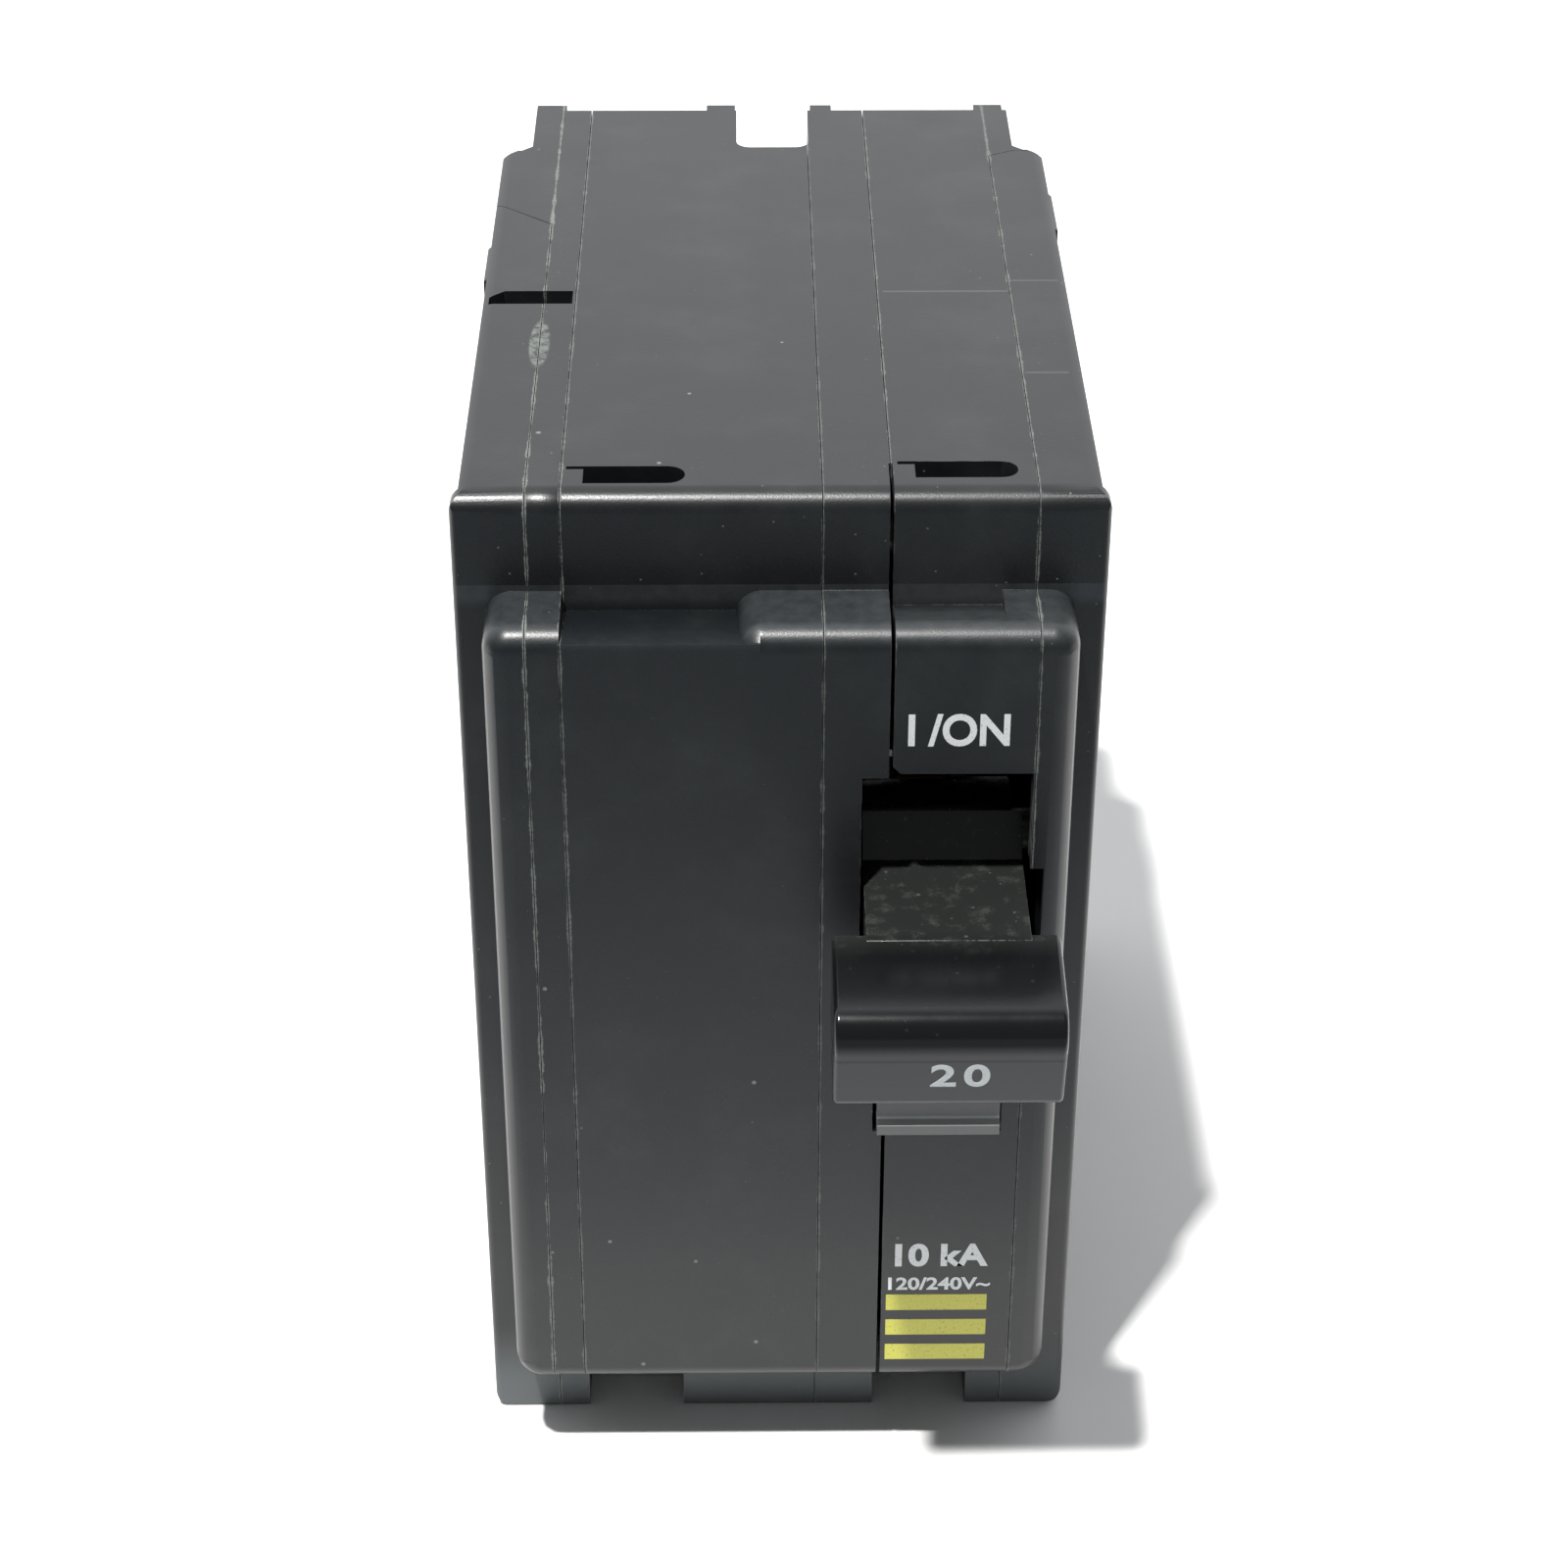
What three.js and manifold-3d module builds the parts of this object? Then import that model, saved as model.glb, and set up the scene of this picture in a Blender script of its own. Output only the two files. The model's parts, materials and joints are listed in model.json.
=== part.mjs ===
// A two-pole plug-on circuit breaker, 38.1 mm wide, standing on its load end.
// Millimetres. +X runs across the poles to the right, +Y from front to back and +Z from the load
// end up to the line end. Depths along Y are measured from the face of the front shoulder, and the
// whole breaker is moved at the end so that its origin is the middle of its footprint.
import * as THREE from 'three';
import { mergeVertices } from 'three/addons/utils/BufferGeometryUtils.js';
import Module from 'manifold-3d';

const wasm = await Module();
wasm.setup();

// ---------------------------------------------------------------- driving dimensions

const POLE_PITCH = 19.05;
const POLES = { left: -POLE_PITCH / 2, right: POLE_PITCH / 2 };
const WALL = 1.9;
const SEAM_GAP = 0.05; // between two shells that are clamped together
const OPEN_SEAM = { gap: 0.24, backY: 4 }; // the seam beside the handle stands open at the front
const FIT = 0.05; // between two fixed pieces that rest on each other
const RUNNING = 0.06; // radial clearance of a pin in its hole

const CASE = { half: 19.05, bodyHalf: 18.55, depth: 57.8, height: 69.4, lip: 1.4, edge: 1.4, corner: 1.2 };
const PLATEAU = { half: 17.2, front: -5, z0: 6.5, z1: 61.5, corner: 1.8, edge: 1.4 };
const BOSS = { z0: 50, z1: 63.2, corner: 1.6, left: [-17.2, -12.7], right: [-2.65, 17.2] };
const BOSS_DIP = { x: [6.4, 12.9], backZ: 62.2, frontY: -3.4 }; // the right boss falls away here
const STEP = { x: [-12.8, -1.2], frontZ: 62.5, backZ: 61.9 }; // sharp edged, between the bosses
const SEAM = { coverLeft: -14.7, linerLeft: -12.7, frame: 2.4, slotSide: 6.4, coverRight: 14.85 };
const PARTITION = { x0: 0.45, x1: 2.4 };
const CAVITY = { left: [-17.2, PARTITION.x0], right: [PARTITION.x1, 17.2] };
const RAIL_NOTCH = { y: [45.8, 50.4], z1: 8 };
const STAB = { half: 2.5, z: [50, 66], cheek: 5.07, y0: 48.6, z0: 38 };
const RELIEF = { half: 7.07, y0: 50.6, z0: 38, notchHalf: 2.5, notchY: 51.1 };
const RIB = { back: 58.75, spans: [[-16.6, -14.5], [-4.6, -2.6], [2.7, 4.2], [14.3, 16.3]] };
const SIDE_BUMP = { proud: 0.2, left: [30, 35], right: [37.7, 43.4], z: [42, 69.2] };

const SLOT = {
  x: [4.72, 14.8], wideX: 15.6, footX: [5.72, 13.72], z: [27.3, 53.7], wideZ: [35.5, 47], step: 0.3,
  nick: 0.6,
};
const TERMINAL = {
  recess: { left: [-12.7, -6.4], right: [6.4, 12.55] }, // open to the front and to the load end
  bay: { left: [-12.7, -3.1], right: [3.1, 12.55] }, // behind it, wider, open to the load end
  recessZ: 7.4, bayY: [6.75, 16.4], bayZ: 9.25, screwZ: 4, strapWay: 3.1,
  tail: { endY: 21.8, z1: 7 }, // the recess carries on behind the bay, clear of the screw's end
};
const LOAD_CAVITY = { y: [23.4, 44], z1: 12 };
const VENTS = [{ x: [-11.4, -5.5], y: [1.6, 3.7] }, { x: [7.8, 13.8], y: [2.2, 4.2] }];
const GROOVE = { x: [-18.2, -12.9], y: [25.8, 27.7], depth: 1 };

const PIVOT = { y: 9, z: 40.3, pin: 1.6, hub: 3.6 };
const DRUM = { radius: 12, from: -75, to: 40, x: [4.95, 14.6] };
const GRIP = { x: [2.9, 16.35], back: -9.7, top: 45.5, round: 0.3 };
const GRIP_ROLL = { y: -15.15, z: 42.8, radius: 1.9, from: 102, to: 194.7 };
const NECK = { top: 45.5, bottom: 38.9 };
const FOOT = { x: [5.98, 13.6], front: -5.45, lip: -5.8, lipZ: 28.5, bottom: 27.45 };
const CROSS_BAR = { y: 15, z: 40.3, radius: 1.5, x: [-8.3, 7.1] };
const ARM = { y: 19, z: 34, hub: 2.3, pin: 1, openDeg: 12, tipZ: 57, half: 1.6 };
const CONTACT = { radius: 2, movingY: [34.1, 35.3], fixedY: [35.6, 36.8] };
const CRADLE = { y: 31, z: 38, pin: 1, hub: 2.2, x: [2.4, 3.6] };
const TRIP_BAR = { y: 13.5, z: 22, radius: 1.4, half: 17.7 };
const ARMATURE = { y: [21, 22], z: [16, 31], half: 4.8, window: [26.2, 29.8] };
const BIMETAL = { half: 2, y: [26.5, 27.5], z: [10.4, 35] };
const SCREW = { head: 2.7, headY: [4.1, 6.7], shank: 1.75, endY: 16.2 }; // a number 6 screw
const CLAMP = { y: [6.8, 8], z: [0.9, 7.6], x: [-2.9, 6.2] };
const STRAP = {
  y: [13.5, 14.5], z: [1.2, 9], top: 10.3, x: [-2.8, 6.2], runHalf: 2.8,
  holeHalf: 2, // a square opening that stands for the tapped hole
};
const RIVETS = {
  line_front: [7, 63.5], line_back: [48, 43.6], load_back: [41, 5.5], load_middle: [25, 5.5],
};
const RIVET = { radius: 1.5, head: 2.7, headDepth: 0.7, sink: 0.1 };

// ---------------------------------------------------------------- solids

const X_AXIS = new THREE.Vector3(1, 0, 0);
const Y_AXIS = new THREE.Vector3(0, 1, 0);
const Z_AXIS = new THREE.Vector3(0, 0, 1);
// A flat shape is drawn in (y, z), (x, z) or (x, y) and pushed along the axis that names it.
const BASES = {
  x: new THREE.Matrix4().makeBasis(Y_AXIS, Z_AXIS, X_AXIS),
  y: new THREE.Matrix4().makeBasis(X_AXIS, Z_AXIS, Y_AXIS.clone().negate()),
  z: new THREE.Matrix4(),
};

function toSolid(geometry) {
  geometry.deleteAttribute('normal');
  geometry.deleteAttribute('uv');
  const merged = mergeVertices(geometry, 1e-4);
  return new wasm.Manifold(new wasm.Mesh({
    numProp: 3,
    vertProperties: Float32Array.from(merged.attributes.position.array),
    triVerts: Uint32Array.from(merged.index.array),
  }));
}

function toGeometry(solid) {
  const mesh = solid.getMesh();
  const geometry = new THREE.BufferGeometry();
  const positions = new Float32Array(mesh.numVert * 3);
  for (let i = 0; i < mesh.numVert; i += 1) {
    positions.set(mesh.vertProperties.subarray(i * mesh.numProp, i * mesh.numProp + 3), i * 3);
  }
  geometry.setAttribute('position', new THREE.BufferAttribute(positions, 3));
  geometry.setIndex(new THREE.BufferAttribute(Uint32Array.from(mesh.triVerts), 1));
  return geometry;
}

const join = (...solids) => solids.reduce((a, b) => a.add(b));
const cut = (solid, ...tools) => tools.reduce((a, b) => a.subtract(b), solid);

function block([x0, x1], [y0, y1], [z0, z1]) {
  const geometry = new THREE.BoxGeometry(x1 - x0, y1 - y0, z1 - z0);
  geometry.translate((x0 + x1) / 2, (y0 + y1) / 2, (z0 + z1) / 2);
  return toSolid(geometry);
}

// Pushes a flat shape from lo to hi along an axis, with both ends rounded by `round`.
function extrude(axis, shape, [lo, hi], round = 0) {
  const geometry = new THREE.ExtrudeGeometry(shape, {
    depth: hi - lo - 2 * round,
    curveSegments: 6,
    bevelEnabled: round > 0,
    bevelThickness: round,
    bevelSize: round,
    bevelOffset: -round,
    bevelSegments: 3,
  });
  geometry.translate(0, 0, round);
  geometry.applyMatrix4(BASES[axis]);
  const start = { x: [lo, 0, 0], y: [0, hi, 0], z: [0, 0, lo] }[axis];
  geometry.translate(...start);
  return toSolid(geometry);
}

// A round bar along an axis; (u, v) are the two other coordinates in x, y, z order.
function rod(axis, radius, [lo, hi], [u, v], sides = 16) {
  const geometry = new THREE.CylinderGeometry(radius, radius, hi - lo, sides);
  const middle = (lo + hi) / 2;
  if (axis === 'x') {
    geometry.rotateZ(Math.PI / 2);
    geometry.translate(middle, u, v);
  } else if (axis === 'y') {
    geometry.translate(u, middle, v);
  } else {
    geometry.rotateX(Math.PI / 2);
    geometry.translate(u, v, middle);
  }
  return toSolid(geometry);
}

function polygon(points) {
  return new THREE.Shape(points.map(([u, v]) => new THREE.Vector2(u, v)));
}

function roundedRect([u0, u1], [v0, v1], r) {
  const shape = new THREE.Shape();
  shape.moveTo(u0 + r, v0);
  shape.lineTo(u1 - r, v0);
  shape.absarc(u1 - r, v0 + r, r, -Math.PI / 2, 0);
  shape.lineTo(u1, v1 - r);
  shape.absarc(u1 - r, v1 - r, r, 0, Math.PI / 2);
  shape.lineTo(u0 + r, v1);
  shape.absarc(u0 + r, v1 - r, r, Math.PI / 2, Math.PI);
  shape.lineTo(u0, v0 + r);
  shape.absarc(u0 + r, v0 + r, r, Math.PI, Math.PI * 1.5);
  return shape;
}

// A bar outline between two round ends.
function linkShape([ua, va], ra, [ub, vb], rb) {
  const along = Math.atan2(vb - va, ub - ua);
  const shape = new THREE.Shape();
  shape.absarc(ub, vb, rb, along - Math.PI / 2, along + Math.PI / 2);
  shape.absarc(ua, va, ra, along + Math.PI / 2, along + Math.PI * 1.5);
  shape.closePath();
  return shape;
}

// ---------------------------------------------------------------- case

// The side outline of the case: round at the top front, square elsewhere, with the rail notch.
function sideShape(depth) {
  const { height, edge } = CASE;
  const { y: [n0, n1], z1 } = RAIL_NOTCH;
  const small = 0.2;
  const shape = new THREE.Shape();
  shape.moveTo(small, 0);
  if (depth > n1) {
    shape.lineTo(n0, 0);
    shape.lineTo(n0, z1);
    shape.lineTo(n1, z1);
    shape.lineTo(n1, 0);
  }
  shape.lineTo(depth, 0);
  shape.lineTo(depth, height);
  shape.lineTo(edge, height);
  shape.absarc(edge, height - edge, edge, Math.PI / 2, Math.PI);
  shape.lineTo(0, small);
  shape.absarc(small, small, small, Math.PI, Math.PI * 1.5);
  return shape;
}

function plateau() {
  const { half, front, z0, z1, corner, edge } = PLATEAU;
  const inside = 3;
  const rise = [front, inside];
  const face = extrude('y', roundedRect([-half, half], [z0, z1], corner), rise, edge);
  const boss = ([x0, x1]) => {
    return extrude('y', roundedRect([x0, x1], [BOSS.z0, BOSS.z1], BOSS.corner), rise, edge);
  };
  const [left0, left1] = BOSS.left;
  const pastEnd = 4;
  const leftBoss = cut(boss([left0, left1 + pastEnd]), block([left1, 0], [-9, 9], [0, 90]));
  const dip = polygon([
    [0, BOSS_DIP.backZ], [inside + 1, BOSS_DIP.backZ], [inside + 1, 90], [BOSS_DIP.frontY, 90],
    [BOSS_DIP.frontY, BOSS.z1],
  ]);
  const rightBoss = cut(boss(BOSS.right), extrude('x', dip, BOSS_DIP.x));
  const step = polygon([
    [front, BOSS.z0], [inside, BOSS.z0], [inside, STEP.backZ], [0, STEP.backZ], [front, STEP.frontZ],
  ]);
  return join(face, leftBoss, rightBoss, extrude('x', step, STEP.x));
}

function outerBlock() {
  const { half, bodyHalf, depth, height, lip } = CASE;
  const body = extrude('x', sideShape(depth), [-bodyHalf, bodyHalf]);
  const flange = extrude('x', sideShape(lip), [-half, half]);
  const outline = roundedRect([-half, half], [0, height], CASE.corner);
  const frontView = extrude('y', outline, [-1, depth + 2]);
  const plan = extrude('z', roundedRect([-half, half], [0, depth + 5], 0.45), [-1, height + 1]);
  const ribs = RIB.spans.map((x) => block(x, [depth - 1, RIB.back], [RELIEF.z0, height]));
  const bumps = [
    block([-bodyHalf - SIDE_BUMP.proud, -bodyHalf + 1], SIDE_BUMP.left, SIDE_BUMP.z),
    block([bodyHalf - 1, bodyHalf + SIDE_BUMP.proud], SIDE_BUMP.right, SIDE_BUMP.z),
  ];
  const shoulder = join(body, flange, ...ribs, ...bumps).intersect(frontView).intersect(plan);
  return join(shoulder, plateau());
}

// The hollow that one pole's mechanism lies in.
function poleCavity(side) {
  const x = CAVITY[side];
  const centre = POLES[side];
  const top = CASE.height - WALL;
  const main = block(x, [WALL, CASE.depth - WALL], [11, top]);
  const load = block(x, LOAD_CAVITY.y, [WALL, LOAD_CAVITY.z1]);
  const behindPlateau = block(
    [Math.max(x[0], -PLATEAU.half + WALL), Math.min(x[1], PLATEAU.half - WALL)],
    [PLATEAU.front + WALL, WALL + 1],
    [PLATEAU.z0 + WALL + 1.6, PLATEAU.z1 - WALL],
  );
  const cheeks = [[-30, centre - STAB.cheek], [centre + STAB.cheek, 30]].map((span) => {
    return block(span, [STAB.y0, 70], [STAB.z0 - 1, 80]);
  });
  return cut(join(main, load, behindPlateau), ...cheeks);
}

// The screw's recess, the bay behind it that the wire enters, the room for the screw's end and
// the way through for the strap.
function terminalSpace(side) {
  const { recess, bay, recessZ, bayY, bayZ, strapWay, tail } = TERMINAL;
  const centre = POLES[side];
  const way = [centre - strapWay, centre + strapWay];
  return join(
    block(recess[side], [-1, bayY[0] + 1], [-1, recessZ]),
    block(bay[side], bayY, [-1, bayZ]),
    block(recess[side], [bayY[1] - 1, tail.endY], [-1, tail.z1]),
    block(way, [bayY[0] + 4, LOAD_CAVITY.y[0] + 1], [bayZ - 0.5, LOAD_CAVITY.z1]),
  );
}

function stabSlot(centre) {
  return block([centre - STAB.half, centre + STAB.half], [CASE.depth - WALL - 1, 70], STAB.z);
}

function handleSlot() {
  const { x: [x0, x1], wideX, footX, z: [z0, z1], wideZ: [wide0, wide1], step, nick } = SLOT;
  const seam = SEAM.slotSide;
  const shape = polygon([
    [footX[0], z0], [footX[1], z0], [footX[1], wide0], [wideX, wide0], [wideX, wide1],
    [x1, wide1], [x1, z1], [seam + nick, z1], [seam, z1 + nick], [seam, z1 - step],
    [x0, z1 - step], [x0, wide0], [footX[0], wide0],
  ]);
  return extrude('y', shape, [PLATEAU.front - 1, WALL]);
}

// The steps at the back of the line end: one at each side and one between the poles.
function backReliefs() {
  const edge = POLES.right + RELIEF.half;
  const z = [RELIEF.z0, 80];
  const chamfer = 0.7;
  const side = polygon([
    [edge, 70], [edge, RELIEF.y0 + chamfer], [edge + chamfer, RELIEF.y0],
    [CASE.bodyHalf - 1, RELIEF.y0], [30, RELIEF.y0 - 12], [30, 70],
  ]);
  const mirrored = polygon(side.getPoints().map((p) => [-p.x, p.y]).reverse());
  const notch = roundedRect([-RELIEF.notchHalf, RELIEF.notchHalf], [RELIEF.notchY, 70], 1);
  return [extrude('z', side, z), extrude('z', mirrored, z), extrude('z', notch, z)];
}

function vent({ x: [x0, x1], y: [y0, y1] }) {
  const r = (y1 - y0) / 2;
  const slit = 0.35;
  const tab = 1;
  const shape = new THREE.Shape();
  shape.moveTo(x0, y0);
  shape.lineTo(x1 - r, y0);
  shape.absarc(x1 - r, y0 + r, r, -Math.PI / 2, Math.PI / 2);
  shape.lineTo(x0, y1);
  const body = extrude('z', shape, [CASE.height - WALL - 1, 80]);
  const thin = block([x0 - tab, x0 + 0.1], [y1 - slit, y1], [CASE.height - WALL - 1, 80]);
  return join(body, thin);
}

function topGroove() {
  const { x: [x0, x1], y: [y0, y1], depth } = GROOVE;
  const shape = polygon([[x0, y0], [x1, y0], [x1, y1], [x0 + (y1 - y0) / 2, y1], [x0, y1 - 0.9]]);
  return extrude('z', shape, [CASE.height - depth, 80]);
}

function rivetHoles() {
  const wide = CASE.half + 1;
  return Object.values(RIVETS).flatMap((at) => {
    const seat = CASE.bodyHalf - RIVET.sink - RIVET.headDepth - FIT;
    return [
      rod('x', RIVET.radius + RUNNING, [-wide, wide], at),
      rod('x', RIVET.head + 0.2, [seat, wide], at),
      rod('x', RIVET.head + 0.2, [-wide, -seat], at),
    ];
  });
}

// Holes for the pins and bars that cross the poles.
function bearingHoles() {
  const inSide = 18;
  const handlePin = rod('x', PIVOT.pin + RUNNING, [-inSide, inSide], [PIVOT.y, PIVOT.z]);
  const tripBar = rod('x', TRIP_BAR.radius + 0.25, [-inSide, inSide], [TRIP_BAR.y, TRIP_BAR.z]);
  const crossBarWay = block([PARTITION.x0 - 1, PARTITION.x1 + 1], [12.4, 17.6], [35.2, 42.8]);
  const pinHoles = [ARM, CRADLE].flatMap(({ y, z, pin }) => {
    return [
      rod('x', pin + RUNNING, [-inSide, PARTITION.x0 + 0.8], [y, z]),
      rod('x', pin + RUNNING, [PARTITION.x1 - 0.8, inSide], [y, z]),
    ];
  });
  return [handlePin, tripBar, crossBarWay, ...pinHoles];
}

function hollowCase() {
  const cavities = ['left', 'right'].map(poleCavity);
  const terminals = ['left', 'right'].map(terminalSpace);
  const slots = Object.values(POLES).map(stabSlot);
  return cut(
    outerBlock(), ...cavities, ...terminals, ...slots, handleSlot(), ...backReliefs(),
    ...VENTS.map(vent), topGroove(), ...rivetHoles(), ...bearingHoles(),
  );
}

// Plan outlines of the six shells that the case is split into, each half a seam gap short.
function shellPlans() {
  const g = SEAM_GAP / 2;
  const out = 30;
  const { coverLeft, linerLeft, frame, slotSide, coverRight } = SEAM;
  const diagonal = { y0: 38.1, y1: 41.5 };
  const tail = { y0: 49.5, y1: 50.4 };
  const open = OPEN_SEAM.gap / 2;
  const { backY } = OPEN_SEAM;
  return {
    left_cover: [
      [-out, -out], [coverLeft - g, -out], [coverLeft - g, diagonal.y0 - g],
      [-18.55, diagonal.y1 - g], [-out, diagonal.y1 - g],
    ],
    left_liner: [
      [coverLeft + g, -out], [linerLeft - g, -out], [linerLeft - g, 70], [-out, 70],
      [-out, diagonal.y1 + g], [-18.55, diagonal.y1 + g], [coverLeft + g, diagonal.y0 + g],
    ],
    left_base: [[linerLeft + g, -out], [frame - g, -out], [frame - g, 70], [linerLeft + g, 70]],
    center_frame: [
      [frame + g, -out], [slotSide - open, -out], [slotSide - open, backY], [slotSide - g, backY],
      [slotSide - g, 70], [frame + g, 70],
    ],
    right_base: [
      [slotSide + open, -out], [coverRight - g, -out], [coverRight - g, tail.y0 + g],
      [16.5, tail.y1 + g], [out, tail.y1 + g], [out, 70], [slotSide + g, 70],
      [slotSide + g, backY], [slotSide + open, backY],
    ],
    right_cover: [
      [coverRight + g, -out], [out, -out], [out, tail.y1 - g], [16.5, tail.y1 - g],
      [coverRight + g, tail.y0 - g],
    ],
  };
}

function shells() {
  const whole = hollowCase();
  const pieces = Object.entries(shellPlans()).map(([name, plan]) => {
    return [name, whole.intersect(extrude('z', polygon(plan), [-1, 80]))];
  });
  return Object.fromEntries(pieces);
}

function rivet([y, z]) {
  const end = CASE.bodyHalf - RIVET.sink;
  const { radius, head, headDepth } = RIVET;
  const profile = [
    [0, -end], [head * 0.8, -end], [head, -end + 0.3], [head, -end + headDepth],
    [radius, -end + headDepth], [radius, end - headDepth], [head, end - headDepth],
    [head, end - 0.3], [head * 0.8, end], [0, end],
  ].map(([r, x]) => new THREE.Vector2(r, x));
  const geometry = new THREE.LatheGeometry(profile, 16);
  geometry.rotateZ(-Math.PI / 2);
  geometry.translate(0, y, z);
  return toSolid(geometry);
}

// ---------------------------------------------------------------- handle

// A thumb rest on top that falls to a rolled tip, and a sloping front face for the rating.
function gripShape() {
  const [from, to] = [GRIP_ROLL.from, GRIP_ROLL.to].map(THREE.MathUtils.degToRad);
  const { y, z, radius } = GRIP_ROLL;
  const shape = new THREE.Shape();
  shape.moveTo(GRIP.back, GRIP.top);
  shape.quadraticCurveTo(-12.5, 45.3, y + radius * Math.cos(from), z + radius * Math.sin(from));
  shape.absarc(y, z, radius, from, to);
  shape.lineTo(-15.9, 38.17);
  shape.quadraticCurveTo(-15.75, 37.6, -15.1, 37.6);
  shape.lineTo(GRIP.back, NECK.bottom);
  return shape;
}

// The skirt below the grip, which closes the slot's lower end and has a proud lip.
function footShape() {
  const { front, lip, lipZ, bottom } = FOOT;
  return polygon([
    [2, bottom], [lip + 0.2, bottom], [lip, lipZ - 0.1], [front, lipZ + 0.1],
    [front, NECK.bottom + 1], [2, NECK.bottom + 1],
  ]);
}

function drumShape() {
  const from = Math.PI - THREE.MathUtils.degToRad(DRUM.to);
  const to = Math.PI - THREE.MathUtils.degToRad(DRUM.from);
  const { radius } = DRUM;
  const shape = new THREE.Shape();
  shape.moveTo(PIVOT.y, PIVOT.z);
  shape.lineTo(PIVOT.y + radius * Math.cos(from), PIVOT.z + radius * Math.sin(from));
  shape.absarc(PIVOT.y, PIVOT.z, radius, from, to);
  return shape;
}

function handle() {
  const pivot = [PIVOT.y, PIVOT.z];
  const crossBarAt = [CROSS_BAR.y, CROSS_BAR.z];
  const grip = extrude('x', gripShape(), GRIP.x, GRIP.round);
  const neck = block(DRUM.x, [GRIP.back - 0.5, 0], [NECK.bottom, NECK.top]);
  const foot = extrude('x', footShape(), FOOT.x);
  const drum = extrude('x', drumShape(), DRUM.x);
  const hub = rod('x', PIVOT.hub, DRUM.x, pivot, 24);
  const crankX = [DRUM.x[0], CROSS_BAR.x[1]];
  const crank = extrude('x', linkShape(pivot, 3, crossBarAt, 2.6), crankX);
  return cut(
    join(grip, neck, foot, drum, hub, crank),
    rod('x', PIVOT.pin + RUNNING, [0, 20], pivot),
    rod('x', CROSS_BAR.radius + RUNNING, [0, 20], crossBarAt),
  );
}

function leftCrank() {
  const pivot = [PIVOT.y, PIVOT.z];
  const crossBarAt = [CROSS_BAR.y, CROSS_BAR.z];
  const x = [CROSS_BAR.x[0] + 0.2, CROSS_BAR.x[0] + 2.6];
  return cut(
    extrude('x', linkShape(pivot, PIVOT.hub, crossBarAt, 2.6), x),
    rod('x', PIVOT.pin + RUNNING, [-20, 0], pivot),
    rod('x', CROSS_BAR.radius + RUNNING, [-20, 0], crossBarAt),
  );
}

// ---------------------------------------------------------------- one pole's mechanism
// Everything here is drawn with the pole's middle at X = 0.

// A spring clip that grips the panel's stab, with a strap forward to the fixed contact.
function lineJaw() {
  const leafPlan = [[-1.1, 42.4], [-0.7, 49.4], [-1.5, 52], [-2.3, 52], [-1.7, 49.4], [-2.1, 42.4]];
  const mirrored = leafPlan.map(([x, y]) => [-x, y]).reverse();
  const leaves = [leafPlan, mirrored].map((plan) => extrude('z', polygon(plan), [50.6, 65.4]));
  const base = block([-2.1, 2.1], [41.8, 43], [50.6, 65.4]);
  const strap = block([-2.5, 2.5], [36.9, 42], [56.4, 57.6]);
  const pad = block([-2.5, 2.5], [36.9, 38], [54, 60]);
  return join(...leaves, base, strap, pad);
}

function fixedContact() {
  return rod('y', CONTACT.radius + 0.2, CONTACT.fixedY, [0, ARM.tipZ]);
}

// The contact arm and its contact are drawn closed; their group turns them open.
function contactArm() {
  const x = [-ARM.half, ARM.half];
  const bar = extrude('x', linkShape([ARM.y, ARM.z], 1.8, [32.6, 54.6], 1.2), x);
  const hub = rod('x', ARM.hub, x, [ARM.y, ARM.z]);
  const pad = extrude('x', roundedRect([31.8, 33.8], [53.4, 60], 0.8), x);
  return cut(join(bar, hub, pad), rod('x', ARM.pin + RUNNING, [-3, 3], [ARM.y, ARM.z]));
}

function movingContact() {
  return rod('y', CONTACT.radius, CONTACT.movingY, [0, ARM.tipZ]);
}

class Helix extends THREE.Curve {
  constructor(start, end, radius, turns) {
    super();
    this.start = start;
    this.radius = radius;
    this.turns = turns;
    this.along = end.clone().sub(start);
    const dir = this.along.clone().normalize();
    this.u = X_AXIS.clone();
    this.v = dir.clone().cross(this.u);
  }

  getPoint(t, target = new THREE.Vector3()) {
    const turn = 2 * Math.PI * this.turns * t;
    return target.copy(this.start)
      .addScaledVector(this.along, t)
      .addScaledVector(this.u, this.radius * Math.cos(turn))
      .addScaledVector(this.v, this.radius * Math.sin(turn));
  }
}

function sweep(curve, radius, sides, steps) {
  const shape = new THREE.Shape();
  shape.absarc(0, 0, radius, 0, Math.PI * 2);
  const ring = polygon(shape.getSpacedPoints(sides).slice(0, sides).map((p) => [p.x, p.y]));
  const geometry = new THREE.ExtrudeGeometry(ring, {
    steps, extrudePath: curve, bevelEnabled: false, curveSegments: sides,
  });
  return toSolid(geometry);
}

function toggleSpring() {
  const turns = 6;
  const lane = -3.5;
  const start = new THREE.Vector3(lane, 22.5, 46);
  const end = new THREE.Vector3(lane, 33, 42.6);
  return sweep(new Helix(start, end, 1.15, turns), 0.3, 4, turns * 7);
}

// The latch lever: a short nose towards the armature and a tail that the spring pulls.
function cradle() {
  const pivot = [CRADLE.y, CRADLE.z];
  return cut(
    join(
      extrude('x', linkShape(pivot, CRADLE.hub, [23.5, 28.4], 0.9), CRADLE.x),
      extrude('x', linkShape(pivot, CRADLE.hub, [35.4, 46.4], 1), CRADLE.x),
    ),
    rod('x', CRADLE.pin + RUNNING, [0, 6], pivot),
  );
}

function bimetal() {
  return block([-BIMETAL.half, BIMETAL.half], BIMETAL.y, BIMETAL.z);
}

function magnetYoke() {
  const z = [18, 28];
  return join(
    block([-5, 5], [28.2, 29.4], z),
    block([-5, -4], [23.5, 28.3], z),
    block([4, 5], [23.5, 28.3], z),
  );
}

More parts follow.
